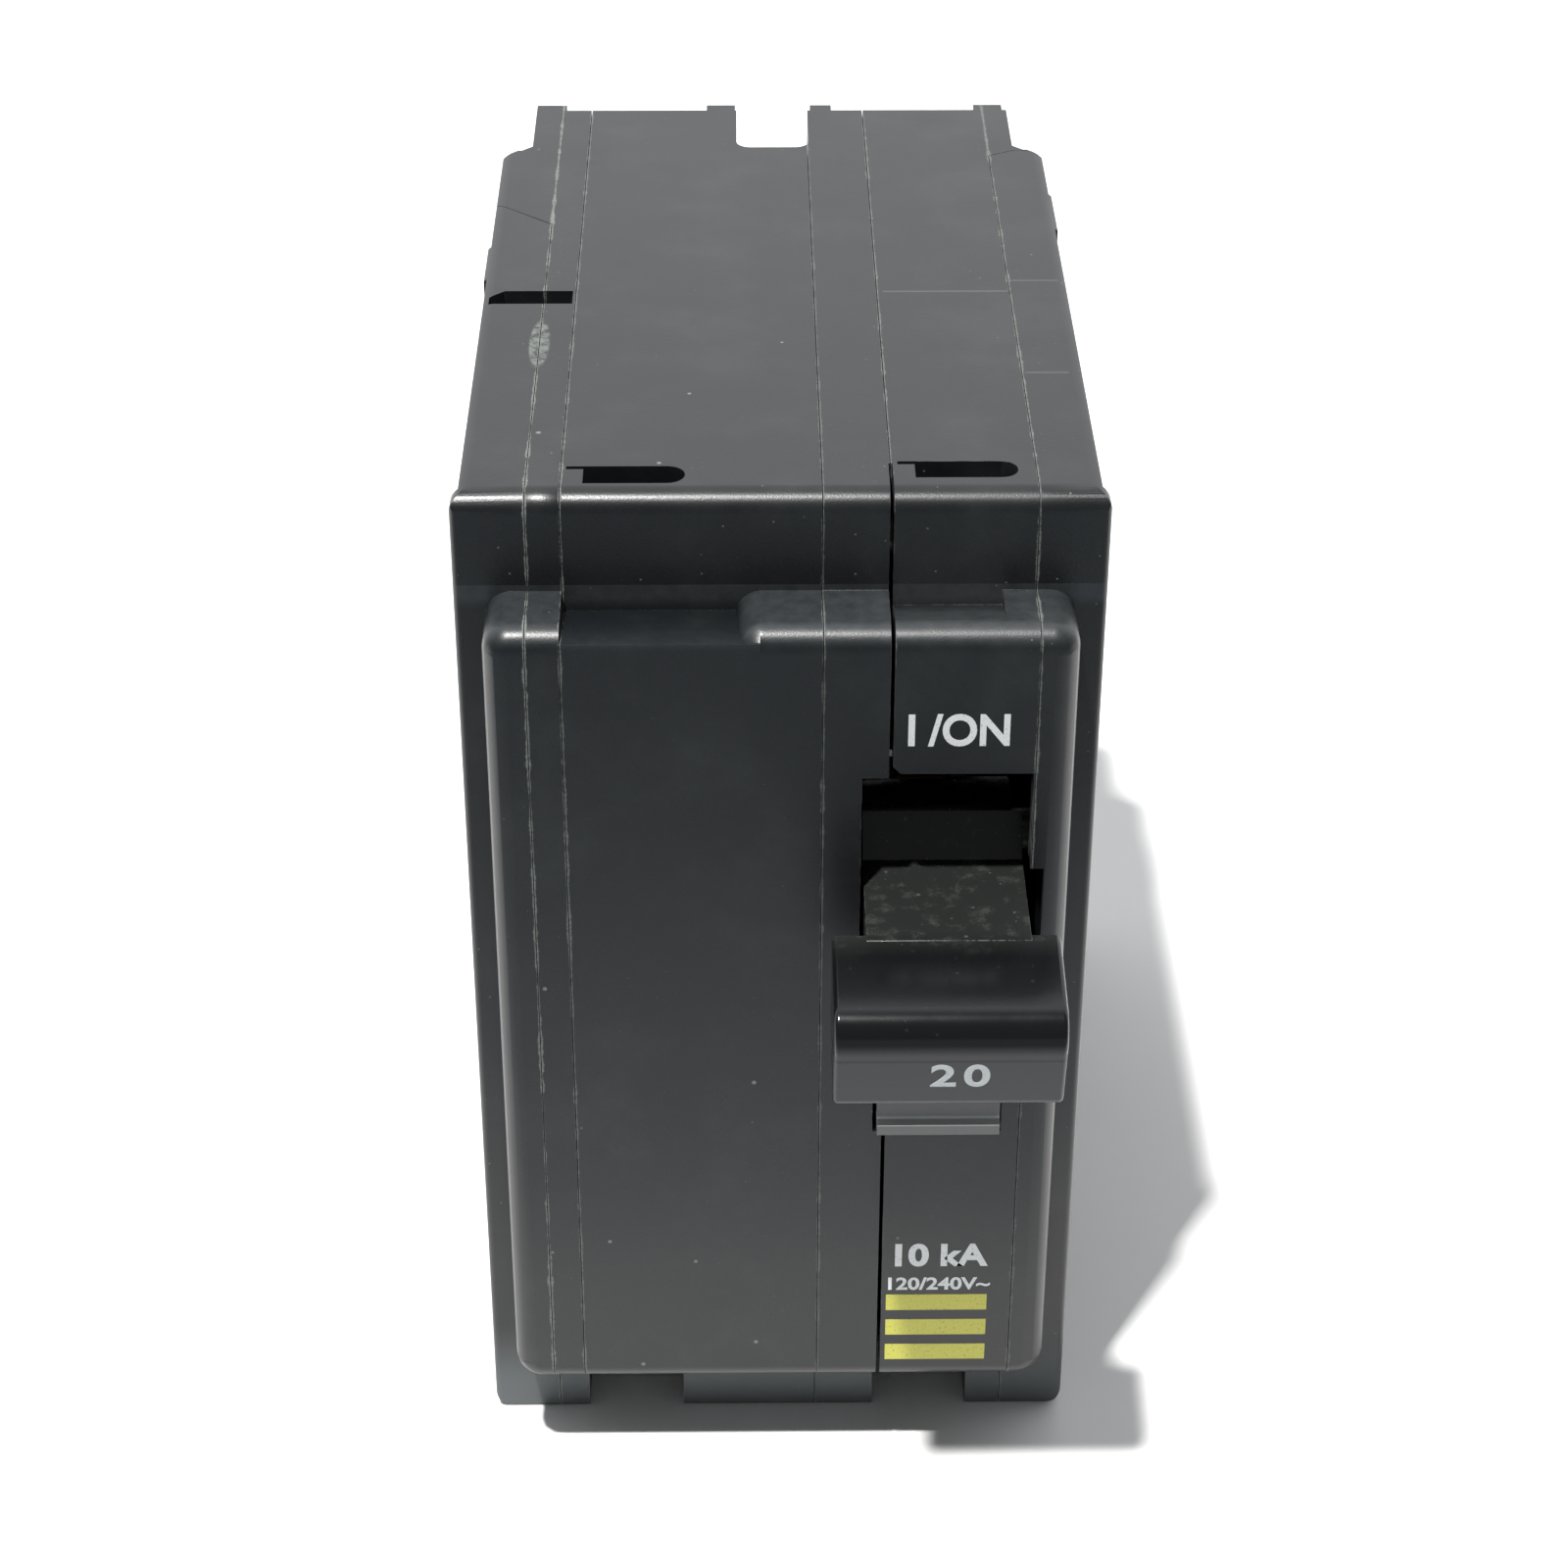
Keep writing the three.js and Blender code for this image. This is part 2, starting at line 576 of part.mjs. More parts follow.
function armature() {
  const { half, y, z } = ARMATURE;
  const plate = extrude('y', roundedRect([-half, half], z, 0.8), y);
  const latchWindow = block([1.9, 4.1], [y[0] - 1, y[1] + 1], ARMATURE.window);
  const knife = block([-half, half], [y[0], y[1] + 0.8], [z[1] - 1, z[1]]);
  return cut(join(plate, knife), latchWindow);
}

function braid() {
  const lane = -5.8;
  const route = [[27.4, 32.4], [30.4, 38.6], [27, 45.4], [22.6, 44.2]];
  const curve = new THREE.CatmullRomCurve3(route.map(([y, z]) => new THREE.Vector3(lane, y, z)));
  return sweep(curve, 0.85, 6, 14);
}

// The wire lies on one side of the screw, so `toward` is +1 or -1 along X.
function sideways(x, toward) {
  return toward > 0 ? x : [-x[1], -x[0]];
}

function loadStrap(toward) {
  const plate = block(sideways(STRAP.x, toward), STRAP.y, STRAP.z);
  const runX = [-STRAP.runHalf, STRAP.runHalf];
  const rise = block(runX, STRAP.y, [STRAP.z[0], STRAP.top]);
  const run = block(runX, [STRAP.y[0], BIMETAL.y[1]], [STRAP.top - 1, STRAP.top]);
  const { y: [y0, y1], holeHalf } = STRAP;
  const { screwZ } = TERMINAL;
  const hole = block([-holeHalf, holeHalf], [y0 - 1, y1 + 1], [screwZ - holeHalf, screwZ + holeHalf]);
  return cut(join(plate, rise, run), hole);
}

function pressurePlate(toward) {
  const [y0, y1] = CLAMP.y;
  const plate = extrude('y', roundedRect(sideways(CLAMP.x, toward), CLAMP.z, 0.7), [y0, y1]);
  const hole = rod('y', SCREW.shank + 0.2, [y0 - 1, y1 + 1], [0, TERMINAL.screwZ]);
  return cut(plate, hole);
}

// A cheese-head screw with a slot and a cross, its thread drawn at its outer size.
function terminalScrew() {
  const at = [0, TERMINAL.screwZ];
  const { head, headY, shank, endY } = SCREW;
  const slotDepth = [headY[0] - 1, headY[0] + 1.2];
  return cut(
    join(
      rod('y', head, headY, at, 24),
      rod('y', shank, [headY[1] - 0.1, endY], at),
    ),
    block([-head, head], slotDepth, [at[1] - 0.4, at[1] + 0.4]),
    block([-0.45, 0.45], slotDepth, [at[1] - 1.8, at[1] + 1.8]),
  );
}

// Steel splitter plates held between two fibre cheeks.
function arcChute() {
  const half = 5.5;
  const z = [60.8, 66.8];
  const cheeks = [[-half, -half + 0.8], [half - 0.8, half]].map((x) => block(x, [21, 33.4], z));
  const plates = [21, 23.8, 26.6, 29.4, 32.2].map((y) => {
    return cut(
      block([-half + 0.4, half - 0.4], [y, y + 0.9], z),
      block([-2.7, 2.7], [y - 1, y + 2], [z[0] - 1, 64.8]),
    );
  });
  return join(...cheeks, ...plates);
}

function calibrationScrew() {
  const at = [0, 14];
  return cut(
    join(rod('y', 1, [BIMETAL.y[1] + FIT, 33], at, 14), rod('y', 1.9, [32, 34], at, 18)),
    block([-2, 2], [33.2, 35], [at[1] - 0.3, at[1] + 0.3]),
  );
}

// A plastic bar across both poles, with a finger that each armature can push.
function tripBar() {
  const { y, z, radius, half } = TRIP_BAR;
  const fingers = Object.values(POLES).map((centre) => {
    const x = [centre - 2.2, centre + 2.2];
    return extrude('x', linkShape([y, z], radius, [19.4, 24], 0.8), x);
  });
  return join(rod('x', radius, [-half, half], [y, z]), ...fingers);
}

// ---------------------------------------------------------------- assembly

const FINISHES = {
  case: { color: 0x1b1d1f, roughness: 0.42, metalness: 0 },
  handle: { color: 0x0d0e0f, roughness: 0.25, metalness: 0 },
  bar: { color: 0x26292b, roughness: 0.5, metalness: 0 },
  fibre: { color: 0x8b8478, roughness: 0.8, metalness: 0 },
  steel: { color: 0xa9abac, roughness: 0.35, metalness: 1 },
  zinc: { color: 0xb9bcbd, roughness: 0.4, metalness: 1 },
  copper: { color: 0xb7724a, roughness: 0.4, metalness: 1 },
  tinned: { color: 0xc4c4bd, roughness: 0.4, metalness: 1 },
  silver: { color: 0xd8d8d4, roughness: 0.3, metalness: 1 },
};

const breaker = new THREE.Group();

function place(name, solid, finish, parent = breaker) {
  const mesh = new THREE.Mesh(toGeometry(solid), new THREE.MeshStandardMaterial(FINISHES[finish]));
  mesh.name = name;
  parent.add(mesh);
  return mesh;
}

// The group that holds a pole's contact arm, turned open about the arm's pin.
function openArmGroup(pole) {
  const pivot = new THREE.Group();
  pivot.position.set(0, ARM.y, ARM.z);
  pivot.rotation.x = THREE.MathUtils.degToRad(ARM.openDeg);
  const drawn = new THREE.Group();
  drawn.position.set(0, -ARM.y, -ARM.z);
  pivot.add(drawn);
  pole.add(pivot);
  return drawn;
}

// A contact arm's pin runs from the outer wall to the partition, in the breaker's own X.
function armPinSpan(side) {
  const end = 17.9;
  return side === 'left' ? [-end, PARTITION.x0 + 0.7] : [PARTITION.x1 - 0.7, end];
}

// A cradle's pin stands out of the wall on the cradle's right and stops just past the cradle.
function cradlePinSpan(side) {
  const free = POLES[side] + CRADLE.x[0] - 0.4;
  return [free, armPinSpan(side)[1]];
}

function addPole(side) {
  const toward = side === 'left' ? 1 : -1;
  const pole = new THREE.Group();
  pole.position.x = POLES[side];
  breaker.add(pole);
  place(`${side}_line_jaw`, lineJaw(), 'tinned', pole);
  place(`${side}_fixed_contact`, fixedContact(), 'silver', pole);
  place(`${side}_toggle_spring`, toggleSpring(), 'steel', pole);
  place(`${side}_cradle`, cradle(), 'zinc', pole);
  place(`${side}_bimetal`, bimetal(), 'steel', pole);
  place(`${side}_magnet_yoke`, magnetYoke(), 'zinc', pole);
  place(`${side}_armature`, armature(), 'zinc', pole);
  place(`${side}_braid`, braid(), 'copper', pole);
  place(`${side}_load_strap`, loadStrap(toward), 'tinned', pole);
  place(`${side}_pressure_plate`, pressurePlate(toward), 'zinc', pole);
  place(`${side}_terminal_screw`, terminalScrew(), 'zinc', pole);
  place(`${side}_arc_chute`, arcChute(), 'fibre', pole);
  place(`${side}_calibration_screw`, calibrationScrew(), 'zinc', pole);
  const arm = openArmGroup(pole);
  place(`${side}_contact_arm`, contactArm(), 'copper', arm);
  place(`${side}_moving_contact`, movingContact(), 'silver', arm);
  place(`${side}_arm_pin`, rod('x', ARM.pin, armPinSpan(side), [ARM.y, ARM.z]), 'steel');
  place(`${side}_cradle_pin`, rod('x', CRADLE.pin, cradlePinSpan(side), [CRADLE.y, CRADLE.z]), 'steel');
}

Object.entries(shells()).forEach(([name, solid]) => place(name, solid, 'case'));
Object.entries(RIVETS).forEach(([name, at]) => place(`rivet_${name}`, rivet(at), 'zinc'));
place('handle', handle(), 'handle');
place('handle_pin', rod('x', PIVOT.pin, [-17.9, 17.9], [PIVOT.y, PIVOT.z]), 'steel');
place('cross_bar', rod('x', CROSS_BAR.radius, CROSS_BAR.x, [CROSS_BAR.y, CROSS_BAR.z]), 'steel');
place('left_crank', leftCrank(), 'bar');
place('trip_bar', tripBar(), 'bar');
addPole('left');
addPole('right');

// The origin is the middle of the footprint's box, at the height of the load end.
breaker.updateMatrixWorld(true);
const footprint = new THREE.Box3().setFromObject(breaker, true);
breaker.position.set(0, -(footprint.min.y + footprint.max.y) / 2, 0);

export default breaker;
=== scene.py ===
import json
import math

import bmesh
import bpy
from mathutils import Matrix, Vector


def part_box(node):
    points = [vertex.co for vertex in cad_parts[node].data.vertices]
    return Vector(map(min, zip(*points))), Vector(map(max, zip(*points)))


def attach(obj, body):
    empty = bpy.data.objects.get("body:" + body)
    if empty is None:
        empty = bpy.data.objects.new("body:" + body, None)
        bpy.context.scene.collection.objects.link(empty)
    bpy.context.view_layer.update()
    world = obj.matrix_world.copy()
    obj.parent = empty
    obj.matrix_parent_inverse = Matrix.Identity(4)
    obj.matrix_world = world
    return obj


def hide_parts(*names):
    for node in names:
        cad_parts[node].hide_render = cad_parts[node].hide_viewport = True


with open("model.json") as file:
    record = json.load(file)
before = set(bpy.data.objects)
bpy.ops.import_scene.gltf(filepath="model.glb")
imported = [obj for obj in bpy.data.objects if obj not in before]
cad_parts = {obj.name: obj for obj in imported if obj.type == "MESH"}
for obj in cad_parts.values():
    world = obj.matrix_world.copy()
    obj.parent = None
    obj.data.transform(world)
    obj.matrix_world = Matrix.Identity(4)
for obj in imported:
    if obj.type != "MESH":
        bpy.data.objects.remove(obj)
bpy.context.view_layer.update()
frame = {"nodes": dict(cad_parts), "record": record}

MM = 0.001


# ------------------------------------------------------------------ places, from the frame

def corner(node, side, axis):
    """One number of a node's box, in metres: side 0 is the low corner, 1 the high one."""
    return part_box(node)[side][axis]


TOP = corner("left_base", 1, 2)
FACE = corner("left_base", 0, 1)            # front of the raised face
SHOULDER = FACE + 5 * MM
SEAMS = {
    "cover_left": -14.7 * MM,
    "liner_left": corner("left_base", 0, 0),
    "frame": corner("center_frame", 0, 0),
    "slot": corner("right_base", 0, 0),
    "cover_right": corner("right_cover", 0, 0),
}
FLOOR_EDGE = SHOULDER / MM - 29             # where the pale sheet that it stands on ends
TILT = math.radians(14.7)                   # how far the label face on the handle leans back
LABEL_FOOT = (15.9, 38.17)                  # its lower edge: mm ahead of the shoulder, and height

# Heights on the handle in mm where a shade fades in: where it is zero, then where it is full.
# Below the foot edge the handle is painted paler: painted light in place of a front fill lamp.
FOOT_LIGHT_EDGE = (37.4, 37.0)
# The lip band: a pale line painted on as a highlight.
LIP_HIGHLIGHT_LOW, LIP_HIGHLIGHT_HIGH = (28.2, 28.4), (28.9, 28.7)
LABEL_EDGE = (42.4, 41.9)
# The groove band: a near-black line painted on as the groove's shade.
GROOVE_SHADE_LOW, GROOVE_SHADE_HIGH = (41.5, 41.58), (41.78, 41.7)

CAMERA_TURN = (0.787, 32.71, 0.183)         # azimuth, elevation and roll, in degrees
CAMERA_PLACE = (-2.24, -179.715, 165.27)    # mm, with Y measured from the shoulder
CAMERA_LENS = 81.63
CAMERA_SENSOR = 36

# Printed words on the raised face: name, words, span of X, span of Z, added stroke, all in mm.
PRINTS = (
    ("print_on", "I /ON", (7.35, 13.25), (55.6, 57.8), 0.08),
    ("print_interrupting", "10 kA", (7.35, 13.3), (16.3, 18.2), 0.11),
    ("print_voltage", "120/240V~", (6.95, 13.5), (14.35, 15.4), 0.08),
)
RATING = {"words": "20", "x": (8.5, 11.95), "z": 40.38, "half": 1.02}
BARS = {"x": (6.83, 13.32), "z": (8.46, 13.96), "count": 3, "share": 0.62}
TEXT_SIZE = 3.0

# Faint scratches across the top: Y behind the shoulder, span of X, strength.
SCRATCHES = (
    (27.5, (6.75, 14.8), 0.35), (29.1, (14.8, 18.1), 0.3), (15.8, (15.05, 17.7), 0.3),
)
SCAB = {"x": -14.7, "y": 20, "half_x": 0.7, "half_y": 3.6}  # a rough patch on the first seam

# How the world's brightness runs from front to back, over the Y of the view direction.
WORLD_LEVELS = {"From Min": -0.15, "From Max": 0.35, "To Min": 0.16, "To Max": 1.2}

KEY_TOWARD = (-0.165, -0.30, 0.94)          # from the part to the lamp; the rest in metres
KEY_TARGET = (0, 0, 0.03)
KEY_DISTANCE = 1.2
KEY_SIZE = 0.045
KEY_WATTS = 22.0


# ------------------------------------------------------------------ camera

def make_camera():
    azimuth, elevation, roll = (math.radians(a) for a in CAMERA_TURN)
    forward = Vector((
        math.sin(azimuth) * math.cos(elevation),
        math.cos(azimuth) * math.cos(elevation),
        -math.sin(elevation),
    ))
    right = Vector((math.cos(azimuth), -math.sin(azimuth), 0))
    up = right.cross(forward)
    across = math.cos(roll) * right + math.sin(roll) * up
    upward = math.cos(roll) * up - math.sin(roll) * right
    basis = Matrix((across, upward, -forward)).transposed()
    data = bpy.data.cameras.new("camera")
    data.sensor_width = CAMERA_SENSOR
    data.lens = CAMERA_LENS
    data.clip_start = 0.01
    data.clip_end = 20
    camera = bpy.data.objects.new("camera", data)
    x, y, z = (value * MM for value in CAMERA_PLACE)
    place = Vector((x, SHOULDER + y, z))
    camera.matrix_world = Matrix.Translation(place) @ basis.to_4x4()
    bpy.context.scene.collection.objects.link(camera)
    bpy.context.scene.camera = camera


# ------------------------------------------------------------------ node helpers

class Shader:
    """A material's node tree, with short calls for the nodes that the materials here share."""

    def __init__(self, name):
        self.material = bpy.data.materials.new(name)
        self.material.use_nodes = True
        self.tree = self.material.node_tree
        self.tree.nodes.clear()
        self.out = self.add("ShaderNodeOutputMaterial")
        self.bsdf = self.add("ShaderNodeBsdfPrincipled")
        self.tree.links.new(self.bsdf.outputs["BSDF"], self.out.inputs["Surface"])
        coords = self.add("ShaderNodeTexCoord").outputs["Object"]
        self.mm = self.vector("SCALE", coords, scale=1000.0)

    def add(self, kind, **settings):
        node = self.tree.nodes.new(kind)
        for key, value in settings.items():
            setattr(node, key, value)
        return node

    def put(self, socket, value):
        if isinstance(value, bpy.types.NodeSocket):
            self.tree.links.new(value, socket)
        else:
            socket.default_value = value

    def math(self, operation, a, b=0.0, c=0.0, clamp=False):
        node = self.add("ShaderNodeMath", operation=operation, use_clamp=clamp)
        for socket, value in zip(node.inputs, (a, b, c)):
            self.put(socket, value)
        return node.outputs[0]

    def vector(self, operation, a, b=(0, 0, 0), scale=1.0):
        node = self.add("ShaderNodeVectorMath", operation=operation)
        self.put(node.inputs[0], a)
        self.put(node.inputs[1], b)
        self.put(node.inputs[3], scale)
        return node.outputs[0]

    def split(self, vector):
        node = self.add("ShaderNodeSeparateXYZ")
        self.put(node.inputs[0], vector)
        return node.outputs

    def noise(self, scale, detail=2.0, rough=0.5, stretch=(1, 1, 1), shift=(0, 0, 0), vector=None):
        at = self.vector("MULTIPLY", vector or self.mm, stretch)
        at = self.vector("ADD", at, shift)
        node = self.add("ShaderNodeTexNoise")
        self.put(node.inputs["Vector"], at)
        self.put(node.inputs["Scale"], scale)
        self.put(node.inputs["Detail"], detail)
        self.put(node.inputs["Roughness"], rough)
        return node.outputs["Fac"]

    def step(self, value, low, high):
        """0 below low, 1 above high, smooth between; low may be above high."""
        node = self.add("ShaderNodeMapRange", interpolation_type="SMOOTHSTEP")
        self.put(node.inputs["Value"], value)
        self.put(node.inputs["From Min"], low)
        self.put(node.inputs["From Max"], high)
        return node.outputs["Result"]

    def mix(self, factor, a, b):
        node = self.add("ShaderNodeMix", data_type="RGBA")
        self.put(node.inputs["Factor"], factor)
        self.put(node.inputs["A"], a)
        self.put(node.inputs["B"], b)
        return node.outputs["Result"]

    def blend(self, factor, a, b):
        node = self.add("ShaderNodeMix", data_type="FLOAT")
        self.put(node.inputs["Factor"], factor)
        self.put(node.inputs["A"], a)
        self.put(node.inputs["B"], b)
        return node.outputs["Result"]

    def bump(self, height, distance, strength=1.0, normal=None):
        node = self.add("ShaderNodeBump")
        self.put(node.inputs["Height"], height)
        self.put(node.inputs["Distance"], distance)
        self.put(node.inputs["Strength"], strength)
        if normal is not None:
            self.put(node.inputs["Normal"], normal)
        return node.outputs["Normal"]

    def specks(self, scale, share, size, shift=(0, 0, 0)):
        """Small round spots: `share` of the cells of a random grid hold one."""
        at = self.vector("ADD", self.mm, shift)
        node = self.add("ShaderNodeTexVoronoi")
        self.put(node.inputs["Vector"], at)
        self.put(node.inputs["Scale"], scale)
        chosen = self.split(node.outputs["Color"])
        radius = self.math("MULTIPLY", chosen[1], size)
        spot = self.step(node.outputs["Distance"], radius, self.math("MULTIPLY", radius, 0.4))
        return self.math("MULTIPLY", spot, self.math("LESS_THAN", chosen[0], share))

    def set(self, **sockets):
        for name, value in sockets.items():
            self.put(self.bsdf.inputs[name.replace("_", " ").title().replace("Ior", "IOR")], value)


def rgb(r, g, b):
    return (r, g, b, 1.0)


# ------------------------------------------------------------------ materials

DUST = rgb(0.20, 0.215, 0.20)


def edge_wear(s, scale, low, high):
    """The narrow faces that round the sharp edges, worn pale in broken patches."""
    edge = s.add("ShaderNodeAttribute", attribute_name="edge").outputs["Fac"]
    return s.math("MULTIPLY", edge, s.step(s.noise(scale, 3.0, 0.7), low, high))


def seam_wear(s):
    """Pale, broken lines of chipped edge and dust that follow the seams between the shells."""
    x = s.split(s.mm)[0]
    wander = s.noise(0.9, 3.0, 0.65)
    fine = s.noise(5.0, 2.0, 0.6, shift=(3, 1, 7))
    total = None
    strengths = {
        "cover_left": 1.0, "liner_left": 0.75, "frame": 0.6, "slot": 0.8, "cover_right": 0.8,
    }
    for number, (name, strength) in enumerate(strengths.items()):
        distance = s.math("ABSOLUTE", s.math("SUBTRACT", x, SEAMS[name] / MM))
        local = s.noise(0.45, 3.0, 0.7, shift=(11 * number, 5, 2))
        width = s.math("MULTIPLY_ADD", s.step(local, 0.35, 0.75), 0.16 * strength, 0.05)
        width = s.math("MULTIPLY_ADD", s.step(wander, 0.45, 0.8), 0.12, width)
        line = s.step(distance, width, s.math("MULTIPLY", width, 0.45))
        line = s.math("MULTIPLY", line, s.blend(s.step(fine, 0.3, 0.6), 0.35, 1.0))
        line = s.math("MULTIPLY", line, strength)
        total = line if total is None else s.math("MAXIMUM", total, line)
    return total


def line_mark(s, level_y, span_x, strength):
    """A faint pale scratch across the top face, at one Y and over a span of X, in case mm."""
    x, y, z = s.split(s.mm)[:3]
    near = s.math("ABSOLUTE", s.math("SUBTRACT", y, SHOULDER / MM + level_y))
    line = s.step(near, 0.16, 0.04)
    inside = s.math("MULTIPLY", s.step(x, span_x[0] - 0.1, span_x[0] + 0.1),
                    s.step(x, span_x[1] + 0.1, span_x[1] - 0.1))
    on_top = s.math("GREATER_THAN", z, TOP / MM - 0.6)
    line = s.math("MULTIPLY", line, inside)
    return s.math("MULTIPLY", line, s.math("MULTIPLY", on_top, strength))


def case_plastic(name):
    s = Shader(name)
    cloud = s.noise(0.05, 3.0)
    grain = s.noise(9.0, 2.0, 0.6)
    base = s.mix(cloud, rgb(0.0046, 0.0060, 0.0074), rgb(0.0076, 0.0094, 0.0108))
    base = s.mix(s.step(grain, 0.55, 0.8), base, rgb(0.015, 0.0165, 0.0168))
    seam = seam_wear(s)
    rim = edge_wear(s, 1.3, 0.44, 0.66)
    spots = s.specks(0.55, 0.20, 0.13)
    tiny = s.specks(1.7, 0.16, 0.17, shift=(4, 9, 1))
    lint = s.math("MAXIMUM", spots, s.math("MULTIPLY", tiny, 0.6))
    marks = s.math("MAXIMUM", seam, s.math("MAXIMUM", s.math("MULTIPLY", rim, 0.55), lint))
    for level, span, strength in SCRATCHES:
        marks = s.math("MAXIMUM", marks, line_mark(s, level, span, strength))
    film = s.math("MULTIPLY", s.step(s.noise(0.12, 4.0, 0.65, shift=(8, 2, 5)), 0.45, 0.8), 0.05)
    x, y, z = s.split(s.mm)[:3]
    off_x = s.math("DIVIDE", s.math("SUBTRACT", x, SCAB["x"]), SCAB["half_x"])
    off_y = s.math(
        "DIVIDE", s.math("SUBTRACT", y, SHOULDER / MM + SCAB["y"]), SCAB["half_y"],
    )
    away = s.math("ADD", s.math("POWER", off_x, 2.0), s.math("POWER", off_y, 2.0))
    scab = s.math("MULTIPLY", s.step(away, 1.0, 0.6), s.step(s.noise(1.6, 3.0, 0.7), 0.35, 0.6))
    scab = s.math("MULTIPLY", scab, s.math("GREATER_THAN", z, TOP / MM - 0.6))
    marks = s.math("MAXIMUM", marks, s.math("MULTIPLY", scab, 0.8))
    # Paler, rougher grey on the front face below Z 7.5 mm and on the boss tops.
    ahead = s.step(y, SHOULDER / MM + 0.4, SHOULDER / MM - 0.1)
    low_down = s.math("MULTIPLY", s.step(z, 7.5, 1.5), 0.45)
    boss = s.math("MULTIPLY", s.step(z, 62.0, 62.9), s.math("LESS_THAN", z, 63.6))
    boss = s.math("MULTIPLY", boss, s.blend(s.noise(1.1, 3.0, 0.6, shift=(2, 7, 4)), 0.02, 0.16))
    paler_front = s.math("MULTIPLY", ahead, s.math("MAXIMUM", low_down, boss))
    colour = s.mix(film, base, DUST)
    colour = s.mix(paler_front, colour, rgb(0.21, 0.235, 0.25))
    colour = s.mix(s.math("MULTIPLY", marks, 0.85), colour, DUST)
    rough = s.blend(s.noise(0.25, 4.0, 0.6), 0.26, 0.34)
    rough = s.math("MULTIPLY_ADD", grain, 0.05, rough)
    rough = s.blend(s.math("MAXIMUM", marks, paler_front), rough, 0.8)
    height = s.math("MULTIPLY_ADD", marks, 0.6, grain)
    s.set(base_color=colour, roughness=rough, normal=s.bump(height, 0.012 * MM, 0.6), ior=1.53)
    return s.material


def handle_plastic(name):
    s = Shader(name)
    y, z = s.split(s.mm)[1:3]
    grain = s.noise(9.0, 2.0, 0.6, shift=(5, 5, 5))
    base = s.mix(grain, rgb(0.0035, 0.004, 0.0045), rgb(0.006, 0.0066, 0.007))
    patchy = s.step(s.noise(0.9, 4.0, 0.7, shift=(1, 3, 2)), 0.5, 0.72)
    rear = s.step(y, SHOULDER / MM - 12, SHOULDER / MM - 9)
    film = s.math("MULTIPLY", s.blend(patchy, 0.07, 0.18), rear)
    foot_painted_light = s.step(z, *FOOT_LIGHT_EDGE)
    lip_highlight = s.math("MULTIPLY", s.step(z, *LIP_HIGHLIGHT_LOW), s.step(z, *LIP_HIGHLIGHT_HIGH))
    rim = edge_wear(s, 1.5, 0.42, 0.62)
    dots = s.math("MULTIPLY", s.specks(1.6, 0.3, 0.3), s.math("MULTIPLY_ADD", rear, 0.3, 0.06))
    marks = s.math("MAXIMUM", s.math("MULTIPLY", rim, 0.5), dots)
    label = s.math("MULTIPLY", s.step(y, SHOULDER / MM - 15.6, SHOULDER / MM - 15.9),
                   s.step(z, *LABEL_EDGE))
    colour = s.mix(film, base, DUST)
    colour = s.mix(s.math("MULTIPLY", label, 0.55), colour, rgb(0.055, 0.058, 0.06))
    # A near-black line across the label face: painted shade where a groove would fall dark.
    groove_shade = s.math("MULTIPLY", s.step(z, *GROOVE_SHADE_LOW), s.step(z, *GROOVE_SHADE_HIGH))
    groove_shade = s.math("MULTIPLY", label, groove_shade)
    colour = s.mix(s.math("MULTIPLY", groove_shade, 0.9), colour, rgb(0.002, 0.002, 0.002))
    # The foot's paler grey is painted light, in place of the front fill that lifts it out of the
    # grip's shade; its higher roughness is the matte finish.
    colour = s.mix(s.math("MULTIPLY", foot_painted_light, 0.9), colour, rgb(0.15, 0.155, 0.155))
    # A pale line along the lip of the foot: a painted highlight.
    colour = s.mix(s.math("MULTIPLY", lip_highlight, 0.8), colour, rgb(0.5, 0.51, 0.5))
    colour = s.mix(s.math("MULTIPLY", marks, 0.8), colour, DUST)
    rough = s.blend(s.noise(0.4, 4.0, 0.6, shift=(2, 2, 9)), 0.12, 0.2)
    rough = s.blend(s.math("MAXIMUM", label, foot_painted_light), rough, 0.42)
    rough = s.blend(s.math("MAXIMUM", marks, s.math("MULTIPLY", film, 2.0)), rough, 0.65)
    normal = s.bump(s.math("MULTIPLY_ADD", marks, 0.5, grain), 0.006 * MM, 0.5)
    s.set(base_color=colour, roughness=rough, normal=normal, ior=1.5)
    return s.material


def dull_plastic(name, dark, light):
    s = Shader(name)
    grain = s.noise(7.0, 3.0, 0.6)
    base = s.mix(s.noise(0.4, 3.0), dark, light)
    colour = s.mix(s.math("MULTIPLY", s.step(grain, 0.5, 0.8), 0.3), base, DUST)
    rough = s.blend(grain, 0.5, 0.7)
    s.set(base_color=colour, roughness=rough, normal=s.bump(grain, 0.02 * MM, 0.6))
    return s.material


def fibre_sheet(name):
    s = Shader(name)
    strands = s.noise(3.0, 4.0, 0.7, stretch=(1, 6, 1))
    colour = s.mix(strands, rgb(0.22, 0.18, 0.13), rgb(0.42, 0.37, 0.29))
    rough = s.blend(strands, 0.7, 0.9)
    s.set(base_color=colour, roughness=rough, normal=s.bump(strands, 0.03 * MM))
    return s.material


def bare_metal(name, dark, light, rough=(0.28, 0.5), stretch=(1, 1, 6)):
    s = Shader(name)
    brushed = s.noise(4.0, 4.0, 0.65, stretch=stretch)
    stain = s.step(s.noise(0.5, 4.0, 0.65, shift=(6, 1, 3)), 0.45, 0.75)
    colour = s.mix(brushed, dark, light)
    colour = s.mix(s.math("MULTIPLY", stain, 0.35), colour, rgb(*(0.5 * c for c in dark[:3])))
    roughness = s.math("ADD", s.blend(brushed, *rough), s.math("MULTIPLY", stain, 0.15))
    s.set(base_color=colour, metallic=1.0, roughness=roughness, normal=s.bump(brushed, 0.01 * MM))
    return s.material


